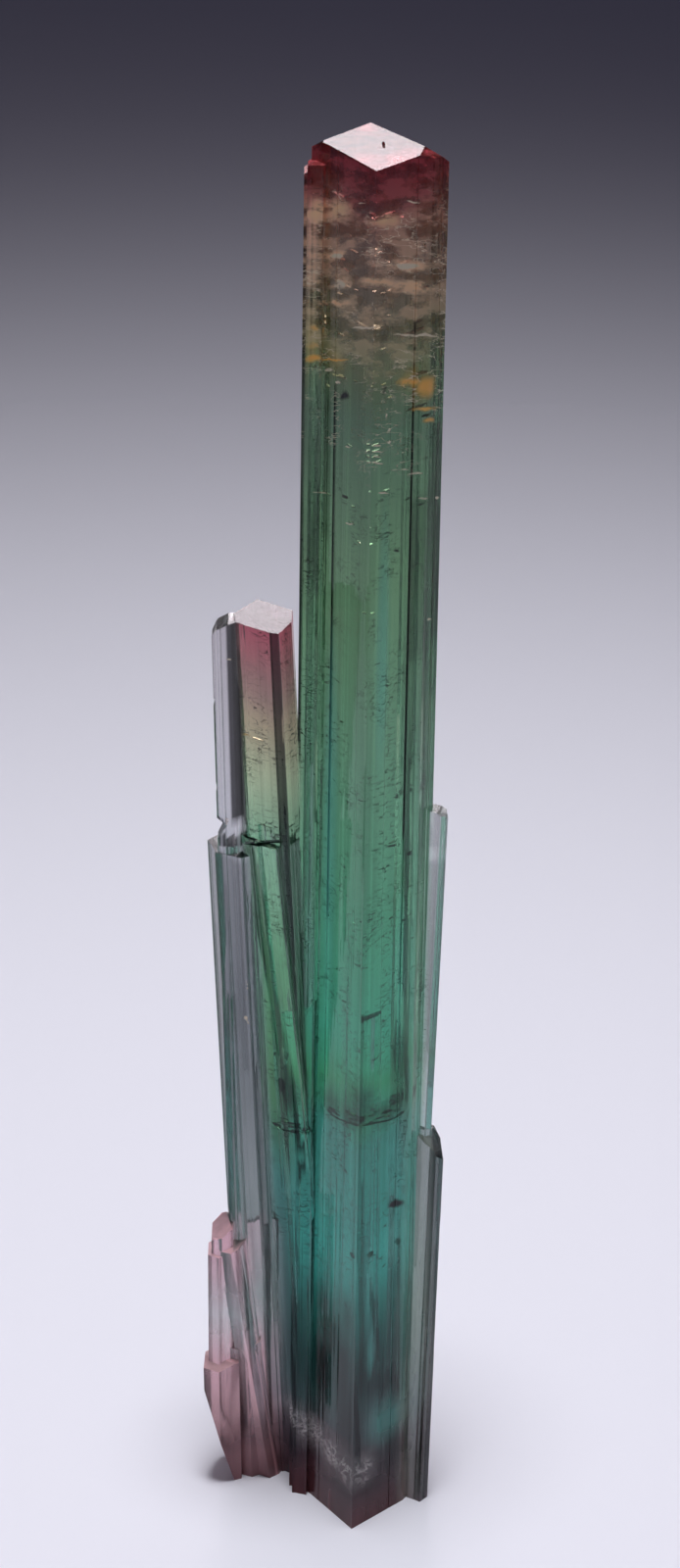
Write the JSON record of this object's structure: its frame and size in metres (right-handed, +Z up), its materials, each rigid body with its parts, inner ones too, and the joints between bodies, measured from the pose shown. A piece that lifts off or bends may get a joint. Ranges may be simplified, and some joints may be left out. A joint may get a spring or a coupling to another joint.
{
  "type": "bicolor tourmaline crystal",
  "caption": "Tall striated tourmaline prism, pink at its flat cap and green below, with shorter crystals grown along its sides, standing on a flat cut base.",
  "frame": {"origin": "centre of the bounding box at the flat cut base", "axes": "+Z up along the main crystal's long axis; -Y towards the viewer, with the shorter pink-capped crystal on the -X side"},
  "size_m": [0.009, 0.0058, 0.056],
  "materials": {
    "tourmaline": "clear striated crystal, wine pink at the caps, green to blue-green below, dull pink at the left foot"
  },
  "bodies": {
    "root": {"tourmaline": "tourmaline"}
  },
  "joints": []
}
